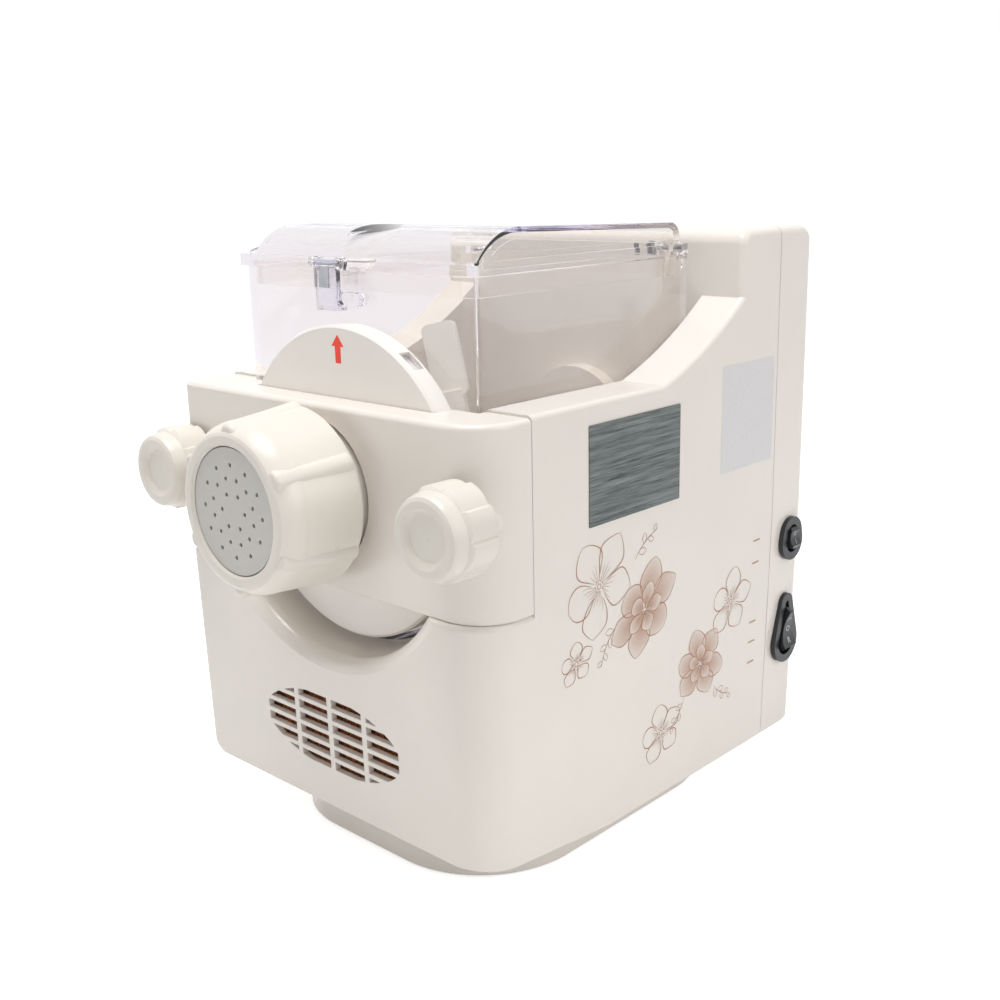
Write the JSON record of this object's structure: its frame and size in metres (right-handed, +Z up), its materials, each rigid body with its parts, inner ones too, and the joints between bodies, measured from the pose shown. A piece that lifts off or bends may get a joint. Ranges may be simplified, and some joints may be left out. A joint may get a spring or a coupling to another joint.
{
  "type": "electric pasta maker",
  "caption": "Countertop machine that kneads dough in a clear lidded bowl and pushes it out through a round die held by a ribbed nut, with a clamp yoke and side switches.",
  "frame": {"origin": "centre of the central rubber pad's underside, on the plane the machine stands on", "axes": "+Z up, -Y towards the die and the person who uses it, +X towards the side with the switches"},
  "size_m": [0.2236, 0.296, 0.295],
  "materials": {
    "ivory_shell": "high gloss moulding",
    "cream_grip": "satin gloss moulding",
    "clear_moulding": "clear, polished",
    "clear_smoke": "clear, satin",
    "ivory_food": "satin moulding",
    "die_grey": "satin moulding",
    "seal_grey": "soft",
    "foot_rubber": "matt",
    "filter_brown": "open foam",
    "steel": "bright",
    "lamination": "laminated",
    "zinc_sheet": "zinc plated",
    "cast_alloy": "cast",
    "brass_metal": "turned",
    "copper_wire": "enamelled wire",
    "nylon_white": "natural nylon",
    "charcoal": "satin",
    "board_green": "solder mask",
    "can_white": "plain",
    "dark_case": "plain"
  },
  "bodies": {
    "housing": {"main_housing": "ivory_shell", "rear_cover": "ivory_shell", "rear_cover_screws": "steel", "base_plinth": "ivory_shell", "rubber_feet": "foot_rubber", "vent_filter": "filter_brown", "yoke_studs": "steel", "motor_stator": "lamination", "motor_windings": "copper_wire", "motor_front_bell": "cast_alloy", "motor_rear_bell": "cast_alloy", "motor_bearings": "steel", "motor_cradle": "zinc_sheet", "gearbox_plate": "zinc_sheet", "gearbox_cover": "cast_alloy", "gearbox_screws": "steel", "shaft_bushes": "brass_metal", "shaft_seal": "seal_grey", "power_switch_body": "charcoal", "mode_switch_body": "charcoal", "power_inlet": "charcoal", "inlet_pins": "brass_metal", "control_board": "board_green", "run_capacitor": "can_white", "interlock_switch": "dark_case"},
    "drive_output": {"output_gear": "nylon_white", "output_shaft": "steel"},
    "idler": {"idler_gear": "nylon_white", "idler_shaft": "steel"},
    "rotor": {"motor_rotor": "lamination", "motor_shaft": "steel", "motor_pinion": "steel", "cooling_fan": "dark_case"},
    "bowl": {"mixing_bowl": "clear_moulding", "bowl_bushing": "seal_grey", "lid_hinge_pins": "steel"},
    "agitator": {"agitator": "ivory_food", "auger": "ivory_food"},
    "lid": {"bowl_lid": "clear_moulding", "latch_pin": "steel"},
    "latch": {"lid_latch": "clear_smoke", "latch_springs": "steel"},
    "front_set": {"front_yoke": "ivory_shell", "end_disc": "ivory_food", "disc_catch": "clear_smoke", "disc_gasket": "seal_grey"},
    "die": {"die_plate": "die_grey"},
    "nut": {"die_nut": "cream_grip"},
    "washer_left": {"clamp_washer_left": "steel"},
    "knob_left": {"clamp_knob_left": "cream_grip", "knob_insert_left": "brass_metal"},
    "washer_right": {"clamp_washer_right": "steel"},
    "knob_right": {"clamp_knob_right": "cream_grip", "knob_insert_right": "brass_metal"},
    "power_rocker": {"power_rocker": "charcoal"},
    "mode_rocker": {"mode_rocker": "charcoal"},
    "interlock_plunger": {"interlock_plunger": "dark_case"}
  },
  "joints": [
    {"name": "drive_turn", "type": "hinge", "parent": "housing", "child": "drive_output", "pos_m": [0, 0.08, 0.182], "axis": [0, 1, 0], "continuous": true},
    {"name": "idler_turn", "type": "hinge", "parent": "housing", "child": "idler", "pos_m": [0, 0.08, 0.1115], "axis": [0, 1, 0], "continuous": true},
    {"name": "rotor_turn", "type": "hinge", "parent": "housing", "child": "rotor", "pos_m": [0, 0, 0.0695], "axis": [0, 1, 0], "continuous": true},
    {"name": "bowl_slide", "type": "slide", "parent": "housing", "child": "bowl", "axis": [0, -1, 0], "range_m": [0, 0.16]},
    {"name": "agitator_turn", "type": "hinge", "parent": "bowl", "child": "agitator", "pos_m": [0, 0, 0.182], "axis": [0, 1, 0], "continuous": true},
    {"name": "lid_hinge", "type": "hinge", "parent": "bowl", "child": "lid", "pos_m": [0, 0.0505, 0.2795], "axis": [-1, 0, 0], "range_deg": [0, 95]},
    {"name": "latch_pivot", "type": "hinge", "parent": "lid", "child": "latch", "pos_m": [-0.0105, -0.1032, 0.2796], "axis": [-1, 0, 0], "range_deg": [0, 25], "stiffness_Nm_per_rad": 0.02, "springref_deg": -8.59},
    {"name": "front_set_slide", "type": "slide", "parent": "bowl", "child": "front_set", "axis": [0, -1, 0], "range_m": [0, 0.08]},
    {"name": "die_travel", "type": "slide", "parent": "front_set", "child": "die", "axis": [0, -1, 0], "range_m": [0, 0.032]},
    {"name": "nut_turn", "type": "hinge", "parent": "die", "child": "nut", "pos_m": [0, -0.15, 0.182], "axis": [0, -1, 0], "range_deg": [0, 1441]},
    {"name": "washer_left_travel", "type": "slide", "parent": "front_set", "child": "washer_left", "axis": [0, -1, 0], "range_m": [0, 0.015]},
    {"name": "knob_left_turn", "type": "hinge", "parent": "washer_left", "child": "knob_left", "pos_m": [-0.092, -0.13, 0.182], "axis": [0, -1, 0], "range_deg": [0, 1801]},
    {"name": "washer_right_travel", "type": "slide", "parent": "front_set", "child": "washer_right", "axis": [0, -1, 0], "range_m": [0, 0.015]},
    {"name": "knob_right_turn", "type": "hinge", "parent": "washer_right", "child": "knob_right", "pos_m": [0.092, -0.13, 0.182], "axis": [0, -1, 0], "range_deg": [0, 1801]},
    {"name": "power_rocker_tip", "type": "hinge", "parent": "housing", "child": "power_rocker", "pos_m": [0.0992, 0.11, 0.1255], "axis": [0, 1, 0], "range_deg": [0, 18]},
    {"name": "mode_rocker_tip", "type": "hinge", "parent": "housing", "child": "mode_rocker", "pos_m": [0.095, 0.109, 0.075], "axis": [0, 1, 0], "range_deg": [-9, 9]},
    {"name": "plunger_press", "type": "slide", "parent": "housing", "child": "interlock_plunger", "axis": [0, 1, 0], "range_m": [0, 0.003], "stiffness_N_per_m": 120, "springref_m": -0.002}
  ],
  "couplings": [
    {"joint": "idler_turn", "follows": "drive_turn", "ratio": -5.7143},
    {"joint": "rotor_turn", "follows": "drive_turn", "ratio": 34.286},
    {"joint": "agitator_turn", "follows": "drive_turn", "ratio": 1},
    {"joint": "nut_turn", "follows": "die_travel", "rad_per_m": 785.4},
    {"joint": "knob_left_turn", "follows": "washer_left_travel", "rad_per_m": 2094.4},
    {"joint": "knob_right_turn", "follows": "washer_right_travel", "rad_per_m": 2094.4}
  ]
}
